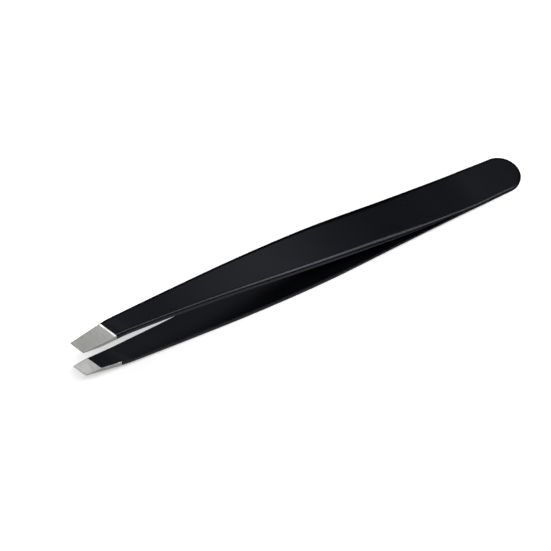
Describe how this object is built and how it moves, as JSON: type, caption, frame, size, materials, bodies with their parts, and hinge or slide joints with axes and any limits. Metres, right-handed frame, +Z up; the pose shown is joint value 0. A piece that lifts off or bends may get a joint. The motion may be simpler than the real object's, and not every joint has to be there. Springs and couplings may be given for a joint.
{
  "type": "slant tweezers",
  "caption": "Slant-tip cosmetic tweezers: a pair of black-coated spring-steel arms joined at a rounded heel, with bare ground tips that close to grip hairs.",
  "frame": {"origin": "bottom centre of the bounding box, with the tweezers lying on a table on the heel end and on the belly of the lower arm", "axes": "+X from the tips to the heel, +Y towards the leading corner of the slanted tips, +Z up from the table. The plane midway between the arms rises towards the tips by 4.64 degrees."},
  "size_m": [0.095, 0.0088, 0.0135],
  "materials": {
    "black_coating": "satin black baked coating on stainless spring steel",
    "bare_steel": "fine-ground bare stainless steel"
  },
  "bodies": {
    "heel": {"upper_heel": "black_coating", "lower_heel": "black_coating", "spot_weld_front": "bare_steel", "spot_weld_rear": "bare_steel"},
    "upper_arm": {"upper_blade": "black_coating"},
    "lower_arm": {"lower_blade": "black_coating"}
  },
  "joints": [
    {"name": "upper_flex", "type": "hinge", "parent": "heel", "child": "upper_arm", "pos_m": [0.02565, 0, 0.00328], "axis": [0, -1, 0], "range_deg": [0, 3.13], "stiffness_Nm_per_rad": 1.15},
    {"name": "lower_flex", "type": "hinge", "parent": "heel", "child": "lower_arm", "pos_m": [0.02549, 0, 0.00134], "axis": [0, 1, 0], "range_deg": [0, 3.13], "stiffness_Nm_per_rad": 1.15}
  ]
}
